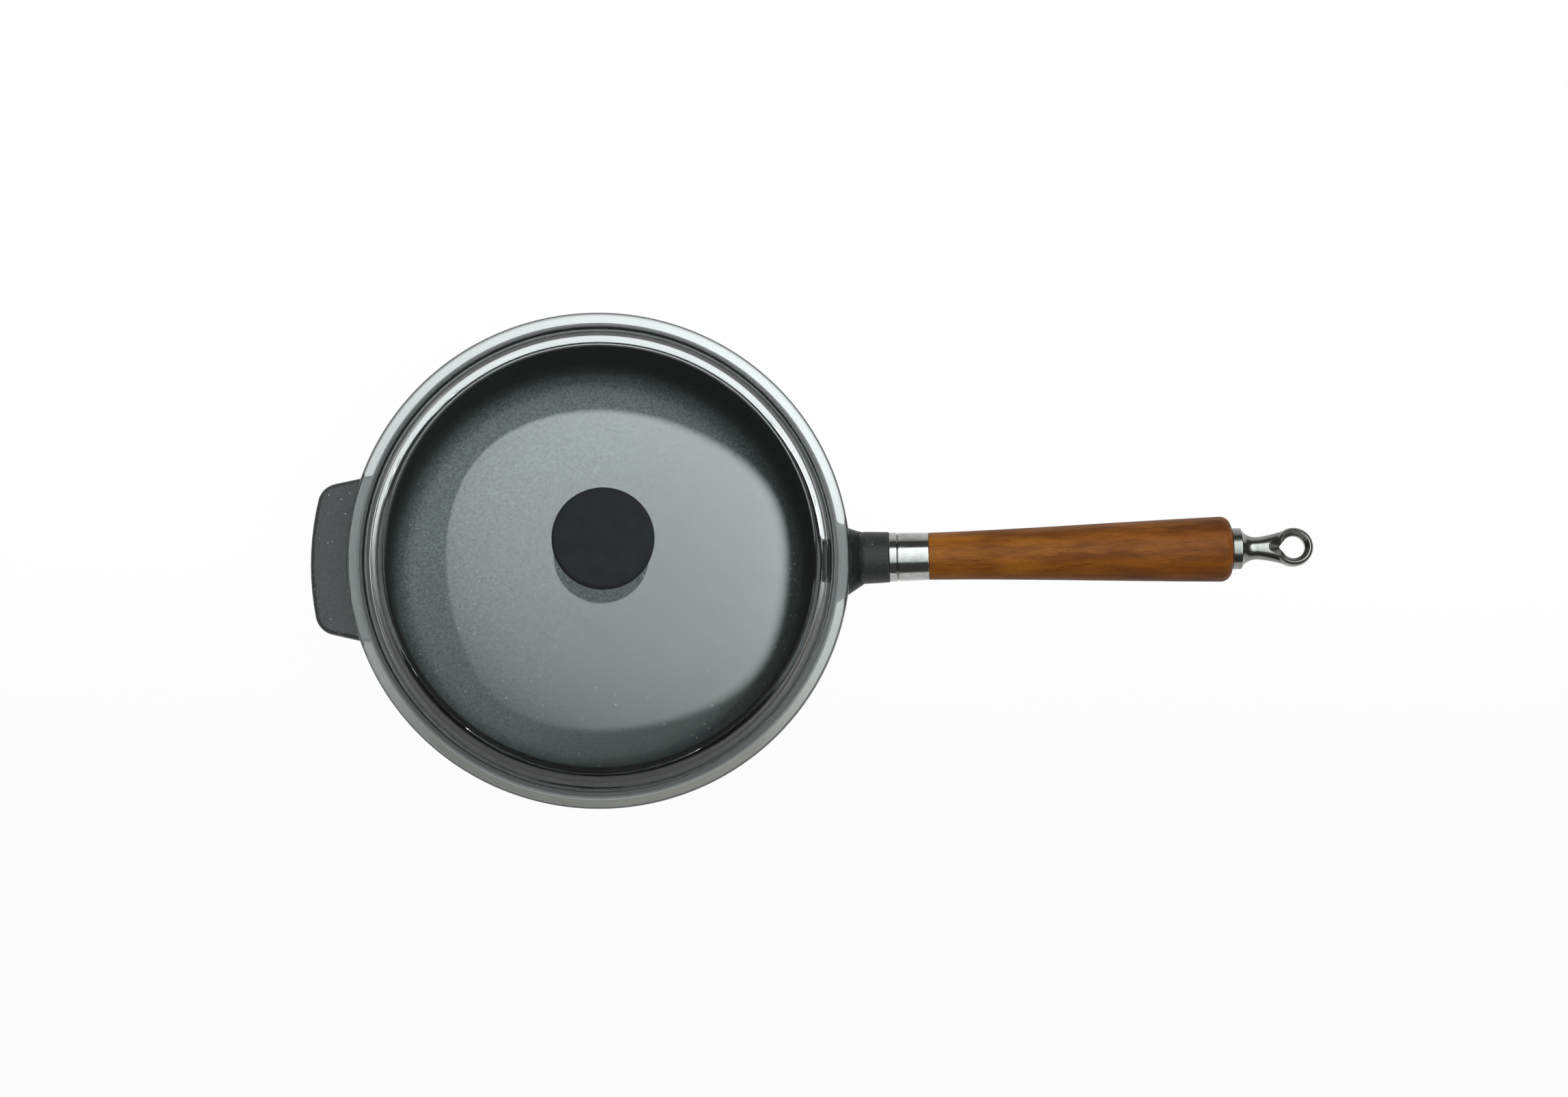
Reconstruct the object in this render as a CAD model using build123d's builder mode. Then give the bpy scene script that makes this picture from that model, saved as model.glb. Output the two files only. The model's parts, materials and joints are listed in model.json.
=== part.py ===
from build123d import *
import math
import os

# A saute pan with its lid: a cast iron pan with a short helper lug and a long wooden handle,
# held on by a steel rod that ends in a hanging eye, and a domed glass lid with a round knob.
# Millimetres, +Z up, +X towards the long handle. The origin is on the pan's axis, at the
# underside of its base.

os.makedirs("parts", exist_ok=True)

# One overrun serves every cut
overrun = 2.0

# Pan bowl
pan_height = 68.0
rim_radius = 134.6
rim_width = 6.0
rim_band = 6.0
rim_neck_inset = 2.8
rim_neck_drop = 10.0
rim_round = 1.2
foot_inset = 12.1
foot_round = 22.0
floor_thickness = 5.0
floor_round = 18.0
wall_thickness = 4.8

# Helper lug, opposite the handle
lug_length = 26.0
lug_root_half_width = 46.5
lug_tip_half_width = 39.4
lug_corner_round = 12.0
lug_top_drop = 6.0
lug_thickness = 8.0
lug_edge_round = 2.4

# Handle boss on the pan. The joint is the boss's end face, on the handle's axis
handle_rise = 10.0
joint_from_rim = 27.9
joint_above_rim = 2.0
boss_radius = 14.3
boss_inner_radius = 14.9
boss_length = 17.5
boss_end_round = 4.0
boss_face_round = 0.8
boss_socket_depth = 16.0
root_wall_half_width = 34.0
root_wall_half_height = 15.0
root_wall_drop = 20.0
root_lid_half_width = 19.8
root_lid_half_height = 12.6
root_lid_drop = 14.0

# Tie rod
rod_radius = 4.0
rod_end_gap = 1.0
rod_chamfer = 0.8
rod_in_eye = 12.0
thread_clearance = 0.05

# Ferrule on the pan's end of the handle
ferrule_length = 22.2
ferrule_lip_radius = 13.9
ferrule_lip_width = 4.2
ferrule_groove_width = 1.2
ferrule_groove_depth = 0.7
ferrule_radius = 13.7
ferrule_mouth_radius = 13.4
ferrule_end_wall = 2.4
ferrule_wall = 1.6
ferrule_round = 0.4

# Wooden grip
grip_length = 168.4
grip_neck_radius = 13.3
grip_end_radius = 18.2
grip_end_round = 6.0
grip_step_round = 0.4
grip_bore_radius = 4.6
glue_gap = 0.05
tenon_end_gap = 0.4
grip_length_shares = (0.2, 0.5, 0.8)
grip_swell_shares = (0.13, 0.45, 0.80)

# Washer let into the grip's end
end_washer_radius = 9.0
end_washer_thickness = 1.6
washer_side_gap = 0.3

# Hanging eye
collar_radius = 11.5
collar_length = 5.4
collar_round = 0.8
collar_slope = 1.4
neck_radius = 6.3
neck_from_collar = 9.1
neck_swell_half_width = 7.3
neck_swell_half_height = 5.6
neck_swell_from_collar = 15.6
eye_reach = 34.4
eye_radius = 10.7
eye_half_thickness = 4.8
eye_edge_round = 2.6
eye_shoulder_half_width = 10.1
eye_shoulder_reach = 31.0
eye_bore_radius = 6.3
eye_bore_tail_radius = 1.2
eye_bore_tail_reach = 6.6
eye_land = 3.4
eye_dish_radius = 8.7
eye_dish_tail_radius = 3.0
eye_dish_tail_reach = 11.2

# Glass lid
lid_overhang = 5.4
lid_side_gap = 1.2
relief_depth = 1.2
flange_thickness = 5.0
flange_round = 2.2
skirt_side_gap = 0.4
skirt_depth = 4.0
skirt_thickness = 2.6
skirt_round = 1.0
glass_thickness = 5.2
shoulder_foot_step = 1.4
shoulder_foot_round = 2.9
shoulder_width = 7.8
shoulder_height = 9.3
shoulder_top_round = 9.0
under_foot_inset = 3.7
under_foot_round = 1.0
under_shoulder_width = 7.7
under_top_round = 6.9
dome_rise = 20.16
dome_power = 3.65
dome_shares = (0.35, 0.6, 0.8, 1.0)
lid_seat_radius = 18.0
lid_hole_radius = 4.2

# Knob and its fastening through the glass
upper_gasket_radius = 14.6
upper_gasket_thickness = 1.0
knob_base_radius = 15.4
knob_base_height = 2.6
knob_stem_radius = 11.6
knob_stem_height = 10.0
knob_flare_radius = 23.6
knob_flare_height = 23.4
knob_radius = 27.2
knob_edge_height = 26.0
knob_height = 32.0
knob_crown = 0.6
knob_top_round = 1.8
knob_edge_round = 1.2
insert_radius = 4.6
insert_length = 13.0
insert_rib_depth = 0.6
insert_rib_width = 2.0
screw_radius = 2.5
screw_head_radius = 4.8
screw_head_height = 3.0
screw_head_round = 1.4
screw_thread_length = 10.0
screw_slot_width = 1.2
screw_slot_depth = 1.4
lower_gasket_radius = 9.4
lower_gasket_thickness = 1.5
sleeve_gap = 0.2
sleeve_height_share = 0.8
screw_washer_radius = 8.4
screw_washer_thickness = 1.2
screw_washer_round = 0.3

# Worked out from the sizes above
rim_inner_radius = rim_radius - rim_width
rim_neck_radius = rim_radius - rim_neck_inset
foot_radius = rim_radius - foot_inset
floor_radius = foot_radius - wall_thickness
lug_reach = rim_radius + lug_length
lug_top = pan_height - lug_top_drop
lug_root_radius = rim_neck_radius - wall_thickness / 2
joint_reach = rim_radius + joint_from_rim
joint_height = pan_height + joint_above_rim
rise = math.radians(handle_rise)
joint = Vector(joint_reach, 0, joint_height)
along = Vector(math.cos(rise), 0, math.sin(rise))
handle_axis = Axis(joint, along)
handle_side = Plane(joint, x_dir=along, z_dir=(0, -1, 0))
grip_end = ferrule_length + grip_length
ferrule_bore_radius = ferrule_mouth_radius - ferrule_wall
tenon_radius = ferrule_bore_radius - glue_gap
rod_hole_radius = rod_radius + thread_clearance
lid_radius = rim_radius + lid_overhang
lid_top = pan_height + flange_thickness
skirt_radius = rim_inner_radius - skirt_side_gap
shoulder_foot_radius = skirt_radius + shoulder_foot_step
shoulder_top_radius = shoulder_foot_radius - shoulder_width
shoulder_top = lid_top + shoulder_height
seat_top = shoulder_top + dome_rise
seat_under = seat_top - glass_thickness
knob_base = seat_top + upper_gasket_thickness
gasket_under = seat_under - lower_gasket_thickness
washer_under = gasket_under - screw_washer_thickness


def station(distance):
    """The plane square to the handle's axis, this far out from the joint, with its Y up."""
    return Plane(joint + along * distance, x_dir=(0, 1, 0), z_dir=along)


def round_corners(profile, corners):
    """Round corners of a profile, each given as its point and its radius."""
    for point, radius in corners:
        fillet(profile.vertices().sort_by_distance(point)[0], radius=radius)


def axis_height(reach):
    """Height of the handle's axis at this distance from the pan's axis."""
    return joint_height + (reach - joint_reach) * math.tan(rise)


# The helper lug is a flat tab with a curved outer edge, set into the pan's wall
lug_side_run = lug_reach - lug_root_radius
lug_side_lean = (lug_root_half_width - lug_tip_half_width) / lug_side_run
lug_far_half_width = lug_tip_half_width - overrun * lug_side_lean
lug_near_half_width = lug_root_half_width + lug_root_radius / 2 * lug_side_lean

with BuildPart() as lug:
    with BuildSketch(Plane.XY.offset(lug_top - lug_thickness)) as lug_plan:
        with BuildLine():
            Polyline(
                (-lug_root_radius / 2, lug_near_half_width),
                (-lug_reach - overrun, lug_far_half_width),
                (-lug_reach - overrun, -lug_far_half_width),
                (-lug_root_radius / 2, -lug_near_half_width),
                close=True,
            )
        make_face()
        Circle(lug_reach, mode=Mode.INTERSECT)
        Circle(lug_root_radius, mode=Mode.SUBTRACT)
        fillet(lug_plan.vertices().sort_by(Axis.X)[:2], radius=lug_corner_round)
    extrude(amount=lug_thickness)
    rim_edges = lug.faces().filter_by(Axis.Z).edges()
    root_edges = rim_edges.filter_by(GeomType.CIRCLE).filter_by(
        lambda edge: abs(edge.radius - lug_root_radius) < thread_clearance)
    fillet(rim_edges - root_edges, radius=lug_edge_round)

# The pan is one casting: the bowl, the lug and the boss for the handle
with BuildPart() as pan_body:
    with BuildSketch(Plane.XZ) as bowl_outside:
        with BuildLine():
            Polyline(
                (0, 0),
                (foot_radius, 0),
                (rim_neck_radius, pan_height - rim_neck_drop),
                (rim_radius, pan_height - rim_band),
                (rim_radius, pan_height),
                (0, pan_height),
                close=True,
            )
        make_face()
        round_corners(bowl_outside, (
            ((foot_radius, 0), foot_round),
            ((rim_neck_radius, pan_height - rim_neck_drop), rim_neck_drop / 2),
            ((rim_radius, pan_height - rim_band), rim_round),
            ((rim_radius, pan_height), rim_round),
        ))
    revolve(axis=Axis.Z)
    add(lug.part)

    # Root of the boss: it leaves the wall low and wide, under the lid's edge
    root_sections = (
        (floor_radius, pan_height - root_wall_drop, root_wall_half_width, root_wall_half_height),
        (lid_radius, pan_height - root_lid_drop, root_lid_half_width, root_lid_half_height),
        (joint_reach - boss_length * math.cos(rise) + boss_end_round,
         axis_height(joint_reach - boss_length * math.cos(rise) + boss_end_round),
         boss_radius, boss_radius / math.cos(rise)),
    )
    for reach, height, half_width, half_height in root_sections:
        with BuildSketch(Plane.YZ.offset(reach)):
            with Locations((0, height)):
                Ellipse(half_width, half_height)
    loft()

    # The boss itself, a short round bar on the handle's axis
    with BuildSketch(handle_side) as boss_section:
        with BuildLine():
            Polyline(
                (-boss_length, 0),
                (-boss_length, boss_inner_radius),
                (0, boss_radius),
                (0, 0),
                close=True,
            )
        make_face()
        round_corners(boss_section, (
            ((-boss_length, boss_inner_radius), boss_end_round),
            ((0, boss_radius), boss_face_round),
        ))
    revolve(axis=handle_axis)

    # The hollow of the bowl
    with BuildSketch(Plane.XZ) as bowl_inside:
        with BuildLine():
            Polyline(
                (0, floor_thickness),
                (floor_radius, floor_thickness),
                (rim_inner_radius, pan_height - rim_band),
                (rim_inner_radius, pan_height - rim_round),
                (rim_inner_radius + rim_round + overrun, pan_height + overrun),
                (0, pan_height + overrun),
                close=True,
            )
        make_face()
        round_corners(bowl_inside, (((floor_radius, floor_thickness), floor_round),))
    revolve(axis=Axis.Z, mode=Mode.SUBTRACT)

    # Room for the lid to drop on to the rim past the boss
    with BuildSketch(Plane.XZ):
        with BuildLine():
            Polyline(
                (rim_radius, pan_height - relief_depth),
                (lid_radius + lid_side_gap, pan_height - relief_depth),
                (lid_radius + lid_side_gap, axis_height(joint_reach) + 2 * boss_radius),
                (rim_inner_radius, axis_height(joint_reach) + 2 * boss_radius),
                (rim_inner_radius, pan_height),
                (rim_radius, pan_height),
                close=True,
            )
        make_face()
    revolve(axis=Axis.Z, mode=Mode.SUBTRACT)

    # Threaded socket for the tie rod
    with BuildSketch(station(0)):
        Circle(rod_hole_radius)
    extrude(amount=-boss_socket_depth, mode=Mode.SUBTRACT)
pan_body.part.label = "pan_body"
export_step(pan_body.part, "parts/pan_body.step")

# Steel ferrule: a cup over the grip's tenon, with a rolled lip against the boss
groove_start = ferrule_lip_width
groove_end = ferrule_lip_width + ferrule_groove_width

with BuildPart() as ferrule:
    with BuildSketch(handle_side) as ferrule_section:
        with BuildLine():
            Polyline(
                (0, rod_hole_radius),
                (0, ferrule_lip_radius),
                (groove_start, ferrule_lip_radius),
                ((groove_start + groove_end) / 2, ferrule_radius - ferrule_groove_depth),
                (groove_end, ferrule_radius),
                (ferrule_length, ferrule_mouth_radius),
                (ferrule_length, ferrule_bore_radius),
                (ferrule_end_wall, ferrule_bore_radius),
                (ferrule_end_wall, rod_hole_radius),
                close=True,
            )
        make_face()
        round_corners(ferrule_section, (
            ((0, ferrule_lip_radius), ferrule_round),
            ((ferrule_length, ferrule_mouth_radius), ferrule_round),
        ))
    revolve(axis=handle_axis)
ferrule.part.label = "ferrule"
export_step(ferrule.part, "parts/ferrule.step")

# Wooden grip: a tenon inside the ferrule, then a long swelling taper to a rounded end
grip_run = grip_length - grip_end_round
grip_swell = grip_end_radius - grip_neck_radius
grip_points = [(ferrule_length, grip_neck_radius)]
for length_share, swell_share in zip(grip_length_shares, grip_swell_shares):
    grip_points.append((
        ferrule_length + grip_run * length_share,
        grip_neck_radius + grip_swell * swell_share,
    ))
grip_points.append((ferrule_length + grip_run, grip_end_radius))
tenon_start = ferrule_end_wall + tenon_end_gap

with BuildPart() as handle_grip:
    with BuildSketch(handle_side) as grip_section:
        with BuildLine():
            Spline(grip_points)
            RadiusArc(grip_points[-1], (grip_end, grip_end_radius - grip_end_round), grip_end_round)
            Polyline(
                (grip_end, grip_end_radius - grip_end_round),
                (grip_end, end_washer_radius + washer_side_gap),
                (grip_end - end_washer_thickness, end_washer_radius + washer_side_gap),
                (grip_end - end_washer_thickness, grip_bore_radius),
                (tenon_start, grip_bore_radius),
                (tenon_start, tenon_radius),
                (ferrule_length, tenon_radius),
                grip_points[0],
            )
        make_face()
        round_corners(grip_section, ((grip_points[0], grip_step_round),))
    revolve(axis=handle_axis)
handle_grip.part.label = "handle_grip"
export_step(handle_grip.part, "parts/handle_grip.step")

# Washer under the eye's collar, level with the grip's end
with BuildPart() as end_washer:
    with BuildSketch(station(grip_end - end_washer_thickness)):
        Circle(end_washer_radius)
        Circle(grip_bore_radius, mode=Mode.SUBTRACT)
    extrude(amount=end_washer_thickness)
end_washer.part.label = "end_washer"
export_step(end_washer.part, "parts/end_washer.step")

# Tie rod, from the boss through the grip into the eye
rod_start = rod_end_gap - boss_socket_depth
rod_end = grip_end + rod_in_eye

with BuildPart() as tie_rod:
    with BuildSketch(station(rod_start)):
        Circle(rod_radius)
    extrude(amount=rod_end - rod_start)
    chamfer(tie_rod.edges().filter_by(GeomType.CIRCLE), length=rod_chamfer)
tie_rod.part.label = "tie_rod"
export_step(tie_rod.part, "parts/tie_rod.step")

# Hanging eye: a collar against the grip, a waisted neck and a flat ring with a dished bore
neck_station = grip_end + neck_from_collar + collar_length
collar_end = grip_end + collar_length
waist_height = math.sqrt(neck_from_collar ** 2 + (collar_radius - collar_slope - neck_radius) ** 2)
eye_centre = grip_end + eye_reach
eye_plane = Plane(joint + along * eye_centre, x_dir=along, z_dir=station(0).y_dir)
eye_side = Plane(joint + along * eye_centre, x_dir=along, z_dir=handle_side.z_dir)


def teardrop(radius, tail_radius, tail_reach):
    """A round with a smaller round behind it, joined by their tangents."""
    Circle(radius)
    with Locations((-tail_reach, 0)):
        Circle(tail_radius)
    make_hull()


with BuildPart() as hanging_eye:
    with BuildSketch(handle_side) as collar_section:
        with BuildLine():
            Polyline(
                (neck_station, neck_radius),
                (neck_station, 0),
                (grip_end, 0),
                (grip_end, collar_radius),
                (collar_end, collar_radius),
                (collar_end + collar_slope / 2, collar_radius - collar_slope),
            )
            RadiusArc(
                (collar_end + collar_slope / 2, collar_radius - collar_slope),
                (neck_station, neck_radius),
                -waist_height,
            )
        make_face()
        round_corners(collar_section, (
            ((grip_end, collar_radius), collar_round),
            ((collar_end, collar_radius), collar_round),
        ))
    revolve(axis=handle_axis)

    # The neck widens and flattens into the ring
    neck_sections = (
        (neck_station, neck_radius, neck_radius),
        (grip_end + collar_length + neck_swell_from_collar, neck_swell_half_width,
         neck_swell_half_height),
        (grip_end + eye_shoulder_reach, eye_shoulder_half_width, eye_half_thickness),
    )
    for distance, half_width, half_height in neck_sections:
        with BuildSketch(station(distance)):
            Ellipse(half_width, half_height)
    loft()

    with BuildSketch(eye_side) as ring_section:
        with BuildLine():
            Polyline(
                (0, -eye_half_thickness),
                (eye_radius, -eye_half_thickness),
                (eye_radius, eye_half_thickness),
                (0, eye_half_thickness),
                close=True,
            )
        make_face()
        fillet(ring_section.vertices().sort_by(Axis.X)[-2:], radius=eye_edge_round)
    revolve(axis=Axis(eye_plane.origin, eye_plane.z_dir))

    # The bore, with a dish on each side that runs out towards the neck
    with BuildSketch(eye_plane.offset(-eye_half_thickness - overrun)):
        teardrop(eye_bore_radius, eye_bore_tail_radius, eye_bore_tail_reach)
    extrude(amount=2 * (eye_half_thickness + overrun), mode=Mode.SUBTRACT)
    for side in (1, -1):
        with BuildSketch(eye_plane.offset(side * eye_half_thickness)):
            teardrop(eye_dish_radius, eye_dish_tail_radius, eye_dish_tail_reach)
        extrude(amount=side * overrun, mode=Mode.SUBTRACT)
        with BuildSketch(eye_plane.offset(side * eye_half_thickness)):
            teardrop(eye_dish_radius, eye_dish_tail_radius, eye_dish_tail_reach)
        with BuildSketch(eye_plane.offset(side * eye_land / 2)):
            teardrop(eye_bore_radius, eye_bore_tail_radius, eye_bore_tail_reach)
        loft(ruled=True, mode=Mode.SUBTRACT)

    # Threaded socket for the rod
    with BuildSketch(station(grip_end)):
        Circle(rod_hole_radius)
    extrude(amount=rod_in_eye + rod_end_gap, mode=Mode.SUBTRACT)
hanging_eye.part.label = "hanging_eye"
export_step(hanging_eye.part, "parts/hanging_eye.step")

# Glass lid: a flat flange on the rim, a skirt inside it, a steep shoulder and a dome that is flat
# in the middle and falls faster towards the shoulder. The shoulder is steeper inside than outside,
# so it is thickest at its foot
def dome_height(reach):
    """Height of the outside of the dome at this distance from the lid's axis."""
    return seat_top - dome_rise * (reach / shoulder_top_radius) ** dome_power


def dome_points(start, end_reach, lowering):
    """Points of the dome, lowered by so much, from its seat out to this reach."""
    run = end_reach - lid_seat_radius
    reaches = [lid_seat_radius + share * run for share in dome_shares]
    return [start] + [(reach, dome_height(reach) - lowering) for reach in reaches]


inner_foot_radius = shoulder_foot_radius - under_foot_inset
inner_top_radius = inner_foot_radius - under_shoulder_width
inner_top = dome_height(inner_top_radius) - glass_thickness

with BuildPart() as lid_glass:
    with BuildSketch(Plane.XZ) as lid_section:
        with BuildLine():
            Spline(*dome_points((lid_seat_radius, seat_top), shoulder_top_radius, 0))
            Polyline(
                (shoulder_top_radius, shoulder_top),
                (shoulder_foot_radius, lid_top),
                (lid_radius, lid_top),
                (lid_radius, pan_height),
                (skirt_radius, pan_height),
                (skirt_radius, pan_height - skirt_depth),
                (skirt_radius - skirt_thickness, pan_height - skirt_depth),
                (inner_foot_radius, pan_height),
                (inner_top_radius, inner_top),
            )
            Spline(*dome_points(
                (lid_seat_radius, seat_under), inner_top_radius, glass_thickness))
            Polyline(
                (lid_seat_radius, seat_under),
                (lid_hole_radius, seat_under),
                (lid_hole_radius, seat_top),
                (lid_seat_radius, seat_top),
            )
        make_face()
        round_corners(lid_section, (
            ((shoulder_top_radius, shoulder_top), shoulder_top_round),
            ((inner_top_radius, inner_top), under_top_round),
            ((inner_foot_radius, pan_height), under_foot_round),
            ((shoulder_foot_radius, lid_top), shoulder_foot_round),
            ((lid_radius, lid_top), flange_round),
            ((lid_radius, pan_height), flange_round),
            ((skirt_radius, pan_height - skirt_depth), skirt_round),
            ((skirt_radius - skirt_thickness, pan_height - skirt_depth), skirt_round),
        ))
    revolve(axis=Axis.Z)
lid_glass.part.label = "lid_glass"
export_step(lid_glass.part, "parts/lid_glass.step")

# Soft washer between the knob and the glass
with BuildPart() as upper_gasket:
    with BuildSketch(Plane.XY.offset(seat_top)):
        Circle(upper_gasket_radius)
        Circle(lid_hole_radius, mode=Mode.SUBTRACT)
    extrude(amount=upper_gasket_thickness)
upper_gasket.part.label = "upper_gasket"
export_step(upper_gasket.part, "parts/upper_gasket.step")

# Soft washer under the glass, with a sleeve that keeps the screw off the edge of the hole
sleeve_top = seat_under + glass_thickness * sleeve_height_share
sleeve_radius = lid_hole_radius - sleeve_gap
sleeve_bore_radius = screw_radius + sleeve_gap

with BuildPart() as lower_gasket:
    with BuildSketch(Plane.XZ):
        with BuildLine():
            Polyline(
                (sleeve_bore_radius, gasket_under),
                (lower_gasket_radius, gasket_under),
                (lower_gasket_radius, seat_under),
                (sleeve_radius, seat_under),
                (sleeve_radius, sleeve_top),
                (sleeve_bore_radius, sleeve_top),
                close=True,
            )
        make_face()
    revolve(axis=Axis.Z)
lower_gasket.part.label = "lower_gasket"
export_step(lower_gasket.part, "parts/lower_gasket.step")

# Steel washer under the soft one
with BuildPart() as screw_washer:
    with BuildSketch(Plane.XY.offset(washer_under)):
        Circle(screw_washer_radius)
        Circle(sleeve_bore_radius, mode=Mode.SUBTRACT)
    extrude(amount=screw_washer_thickness)
    fillet(screw_washer.edges().group_by(Axis.Z)[0].sort_by(SortBy.RADIUS)[-1],
           radius=screw_washer_round)
screw_washer.part.label = "screw_washer"
export_step(screw_washer.part, "parts/screw_washer.step")

# Machine screw from inside the lid up into the knob
with BuildPart() as lid_screw:
    with BuildSketch(Plane.XZ) as screw_section:
        with BuildLine():
            Polyline(
                (0, washer_under - screw_head_height),
                (screw_head_radius, washer_under - screw_head_height),
                (screw_head_radius, washer_under),
                (screw_radius, washer_under),
                (screw_radius, knob_base + screw_thread_length),
                (0, knob_base + screw_thread_length),
                close=True,
            )
        make_face()
        round_corners(screw_section, (
            ((screw_head_radius, washer_under - screw_head_height), screw_head_round),
        ))
    revolve(axis=Axis.Z)
    with BuildSketch(Plane.XY.offset(washer_under - screw_head_height)):
        Rectangle(2 * screw_head_radius, screw_slot_width)
    extrude(amount=screw_slot_depth, mode=Mode.SUBTRACT)
lid_screw.part.label = "lid_screw"
export_step(lid_screw.part, "parts/lid_screw.step")

# Threaded insert moulded into the knob, with a waist that locks it in place
with BuildPart() as knob_insert:
    rib_middle = knob_base + insert_length / 2
    with BuildSketch(Plane.XZ):
        with BuildLine():
            Polyline(
                (screw_radius + thread_clearance, knob_base),
                (insert_radius, knob_base),
                (insert_radius, rib_middle - insert_rib_width),
                (insert_radius - insert_rib_depth, rib_middle - insert_rib_width / 2),
                (insert_radius - insert_rib_depth, rib_middle + insert_rib_width / 2),
                (insert_radius, rib_middle + insert_rib_width),
                (insert_radius, knob_base + insert_length),
                (screw_radius + thread_clearance, knob_base + insert_length),
                close=True,
            )
        make_face()
    revolve(axis=Axis.Z)
knob_insert.part.label = "knob_insert"
export_step(knob_insert.part, "parts/knob_insert.step")

# Moulded knob: a waisted stem under a flat round cap
with BuildPart() as knob:
    with BuildSketch(Plane.XZ) as knob_section:
        with BuildLine():
            Polyline(
                (0, knob_base),
                (knob_base_radius, knob_base),
                (knob_base_radius, knob_base + knob_base_height),
            )
            Spline(
                (knob_base_radius, knob_base + knob_base_height),
                (knob_stem_radius, knob_base + knob_stem_height),
                (knob_flare_radius, knob_base + knob_flare_height),
                tangents=((-1, 1), (1, 1)),
            )
            Polyline(
                (knob_flare_radius, knob_base + knob_flare_height),
                (knob_radius, knob_base + knob_edge_height),
                (knob_radius, knob_base + knob_height),
            )
            RadiusArc(
                (knob_radius, knob_base + knob_height),
                (0, knob_base + knob_height + knob_crown),
                -(knob_radius ** 2 + knob_crown ** 2) / (2 * knob_crown),
            )
            Line((0, knob_base + knob_height + knob_crown), (0, knob_base))
        make_face()
        round_corners(knob_section, (
            ((knob_radius, knob_base + knob_height), knob_top_round),
            ((knob_radius, knob_base + knob_edge_height), knob_edge_round),
        ))
    revolve(axis=Axis.Z)
    with BuildSketch(Plane.XY.offset(knob_base)):
        Circle(insert_radius + glue_gap)
    extrude(amount=insert_length + glue_gap, mode=Mode.SUBTRACT)
knob.part.label = "knob"
export_step(knob.part, "parts/knob.step")
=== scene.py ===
"""The looks of a covered saute pan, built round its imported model."""

import json
import math

import bmesh
import bpy
from bpy.props import FloatProperty, FloatVectorProperty, IntProperty, PointerProperty
from bpy.types import Operator, Panel, PropertyGroup
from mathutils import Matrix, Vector


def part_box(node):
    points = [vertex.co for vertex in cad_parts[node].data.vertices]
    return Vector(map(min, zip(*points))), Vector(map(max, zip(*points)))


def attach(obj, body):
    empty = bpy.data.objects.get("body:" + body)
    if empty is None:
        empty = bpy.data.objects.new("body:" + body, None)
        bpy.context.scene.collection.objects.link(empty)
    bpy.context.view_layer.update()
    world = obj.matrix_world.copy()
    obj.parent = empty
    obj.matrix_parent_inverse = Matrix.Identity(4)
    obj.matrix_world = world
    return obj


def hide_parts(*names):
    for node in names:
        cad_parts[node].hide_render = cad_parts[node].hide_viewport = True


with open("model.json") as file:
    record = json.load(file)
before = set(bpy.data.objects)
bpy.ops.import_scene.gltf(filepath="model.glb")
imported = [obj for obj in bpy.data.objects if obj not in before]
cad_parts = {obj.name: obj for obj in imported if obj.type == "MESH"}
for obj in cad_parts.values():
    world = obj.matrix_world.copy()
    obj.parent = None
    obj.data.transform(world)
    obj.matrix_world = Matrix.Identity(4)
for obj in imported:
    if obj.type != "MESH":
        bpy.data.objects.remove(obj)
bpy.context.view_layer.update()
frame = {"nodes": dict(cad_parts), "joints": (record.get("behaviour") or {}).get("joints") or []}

bl_info = {
    "name": "Saute pan with lid",
    "version": (1, 0, 0),
    "blender": (4, 5, 0),
    "location": "3D View > Sidebar > Saute pan",
    "description": "Shapes and finishes for the pan, its glass lid, the knob and the handle",
    "category": "Object",
}

lid_low, lid_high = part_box("lid_glass")
eye_turn = next(joint for joint in frame["joints"] if joint["name"] == "eye_turn")
handle_start = Vector(eye_turn["pos_m"])
handle_along = Vector(eye_turn["axis"])
handle_rise = math.atan2(handle_along.z, handle_along.x)


# Where the pan's coat changes: the leaning skin of the bowl, the foot of its wall, the land
# that the lid rests on, and the two heights between which that land begins. The wall inside and
# the land under the lid carry painted shade.
wall_lean = 0.165
wall_skin = (0.1196, 0.1206)
floor_fade = (0.110, 0.121)
wall_fade = (0.1165, 0.1215)
land_inner = (0.1265, 0.1275)
land_outer = (0.1350, 0.1360)
land_height = (0.066, 0.0675)

# The side towards which the bowl's floor is painted lighter, as if lit from there, and where along
# it that begins and ends; away from it the floor is painted darker
painted_light_side = (-0.55, 0.83, 0.0)
painted_light_fade = (-0.09, 0.07)

# How much the coat's colour varies from speck to speck, and from its painted dark side to its
# painted light side
speck_range = (0.45, 1.75)
painted_light_range = (0.35, 2.1)

# Where the flat of the lid's flange begins and ends
flat_inner = (0.1278, 0.1290)
flat_outer = (0.1368, 0.1378)

# How far the glass slants where it begins to hold light back and where it holds back most
slant_range = (0.15, 0.65)

# The level of reflection: plain, of the dull iron, and of the flat of the flange
plain_level = 0.5
dull_level = 0.08
flat_level = 0.06


# Sizes and colours that a user may change


def length(name, description, default, **more):
    """A size in metres."""
    return FloatProperty(
        name=name, description=description, default=default,
        unit="LENGTH", precision=4, **more)


def share(name, description, default):
    """A plain number from 0 to 1."""
    return FloatProperty(
        name=name, description=description, default=default, min=0.0, max=1.0,
        subtype="FACTOR")


def colour(name, description, default):
    """A linear colour."""
    return FloatVectorProperty(
        name=name, description=description, default=default, min=0.0, max=1.0,
        size=3, subtype="COLOR")


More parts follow.
